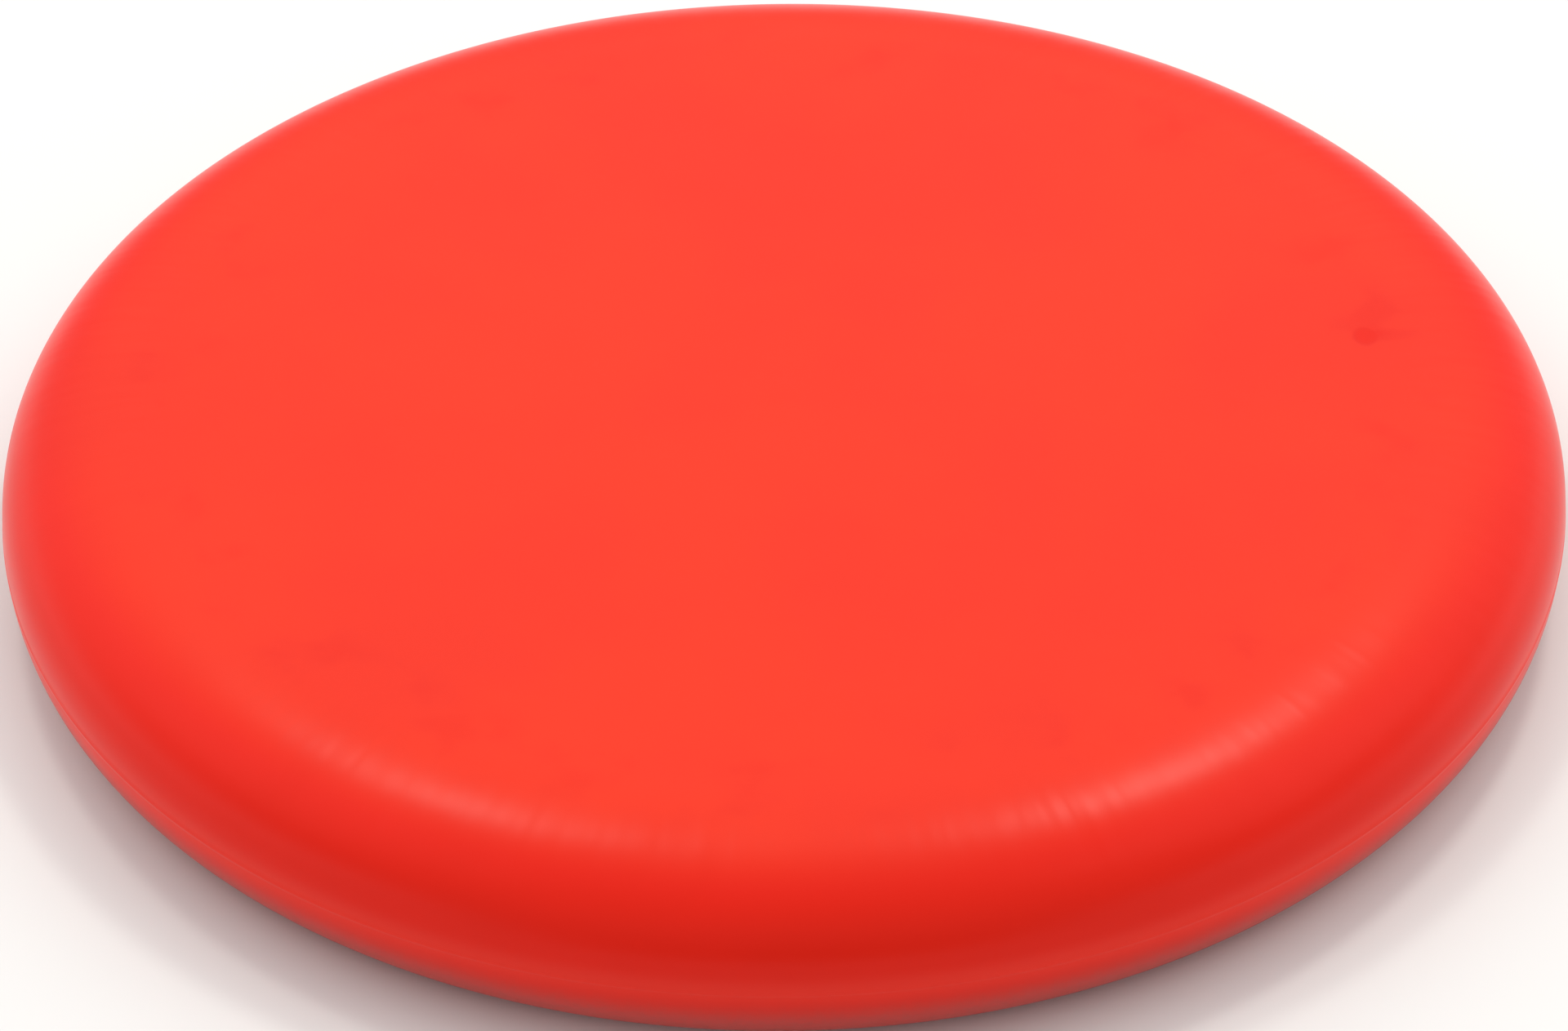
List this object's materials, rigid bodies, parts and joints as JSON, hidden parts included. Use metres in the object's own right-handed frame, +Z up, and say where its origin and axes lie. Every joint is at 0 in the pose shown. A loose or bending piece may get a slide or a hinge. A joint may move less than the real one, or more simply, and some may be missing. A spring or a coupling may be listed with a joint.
{
  "type": "flying disc",
  "caption": "Round throwing disc with a flat plate, a broad rounded shoulder and a rim that curls in to a rolled bead; hollow underneath.",
  "frame": {"origin": "centre of the circle that the rim stands on", "axes": "+Z up along the disc's axis, from the open underside to the plate; every direction across it is alike"},
  "size_m": [0.23, 0.23, 0.028],
  "materials": {
    "red_plastic": "satin moulded polyethylene, one colour throughout"
  },
  "bodies": {
    "root": {"disc": "red_plastic"}
  },
  "joints": []
}
